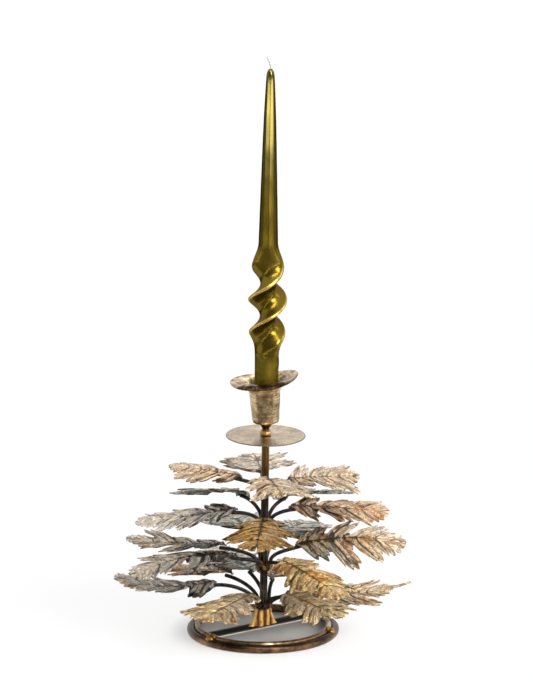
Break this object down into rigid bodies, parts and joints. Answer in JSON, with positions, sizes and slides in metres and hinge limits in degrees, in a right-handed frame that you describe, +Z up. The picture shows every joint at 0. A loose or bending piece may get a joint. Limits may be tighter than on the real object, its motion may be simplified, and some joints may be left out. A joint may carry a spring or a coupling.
{
  "type": "taper candle holder",
  "caption": "Tabletop candle holder shaped as a small tree of oak leaves on a ring base, with a drip pan, a flared cup and a twisted taper candle.",
  "frame": {"origin": "on the table under the middle of the base rings", "axes": "+Z up along the stem, +X to the right as seen in the picture, +Y away from the viewer"},
  "size_m": [0.2764, 0.2258, 0.5502],
  "materials": {
    "ring_steel": "dark mottled steel rod",
    "ring_bronze": "brown heat-tinted rod with bright worn edges",
    "strip_steel": "blackened strip with bright cut edges",
    "tube_steel": "dark drawn tube",
    "rod_steel": "blackened rod",
    "braze_brass": "poured braze, golden with dark flux stains",
    "leaf_brass": "antique patina, beige brown",
    "leaf_gold": "antique patina, golden",
    "leaf_pewter": "antique patina, dark grey brown",
    "pan_brass": "pale brushed brass",
    "cup_brass": "pale brass with brown spots",
    "neck_bronze": "turned, dark in the waist",
    "gold_wax": "metallic olive-gold lacquered wax",
    "wick_cotton": "plaited cotton"
  },
  "bodies": {
    "holder": {"lower_ring": "ring_steel", "upper_ring": "ring_bronze", "cross_strip": "strip_steel", "braze_left": "braze_brass", "braze_right": "braze_brass", "root_foot": "braze_brass", "stem_tube": "tube_steel", "hub_lower": "braze_brass", "hub_middle": "braze_brass", "hub_upper": "braze_brass", "pan_collar": "braze_brass", "drip_pan": "pan_brass", "neck": "neck_bronze", "candle_cup": "cup_brass", "leaf_tier1_front_left": "leaf_brass", "stem_tier1_front_left": "rod_steel", "leaf_tier1_front_right": "leaf_brass", "stem_tier1_front_right": "rod_steel", "leaf_tier1_right": "leaf_brass", "stem_tier1_right": "rod_steel", "leaf_tier1_back_right": "leaf_brass", "stem_tier1_back_right": "rod_steel", "leaf_tier1_back_left": "leaf_brass", "stem_tier1_back_left": "rod_steel", "leaf_tier1_left_back": "leaf_brass", "stem_tier1_left_back": "rod_steel", "leaf_tier1_left": "leaf_pewter", "stem_tier1_left": "rod_steel", "leaf_tier2_front_right": "leaf_gold", "stem_tier2_front_right": "rod_steel", "leaf_tier2_right": "leaf_brass", "stem_tier2_right": "rod_steel", "leaf_tier2_back_right": "leaf_brass", "stem_tier2_back_right": "rod_steel", "leaf_tier2_back_left": "leaf_brass", "stem_tier2_back_left": "rod_steel", "leaf_tier2_left": "leaf_pewter", "stem_tier2_left": "rod_steel", "leaf_tier2_front_left": "leaf_pewter", "stem_tier2_front_left": "rod_steel", "leaf_tier3_front": "leaf_gold", "stem_tier3_front": "rod_steel", "leaf_tier3_right": "leaf_brass", "stem_tier3_right": "rod_steel", "leaf_tier3_back_right": "leaf_brass", "stem_tier3_back_right": "rod_steel", "leaf_tier3_back_left": "leaf_brass", "stem_tier3_back_left": "rod_steel", "leaf_tier3_left": "leaf_brass", "stem_tier3_left": "rod_steel", "leaf_tier4_front": "leaf_brass", "stem_tier4_front": "rod_steel", "leaf_tier4_right": "leaf_brass", "stem_tier4_right": "rod_steel", "leaf_tier4_back": "leaf_brass", "stem_tier4_back": "rod_steel", "leaf_tier4_left": "leaf_brass", "stem_tier4_left": "rod_steel"},
    "candle": {"candle": "gold_wax", "wick": "wick_cotton"}
  },
  "joints": [
    {"name": "candle_lift", "type": "slide", "parent": "holder", "child": "candle", "axis": [0.0131, 0, 0.9999], "range_m": [0, 0.05]}
  ]
}
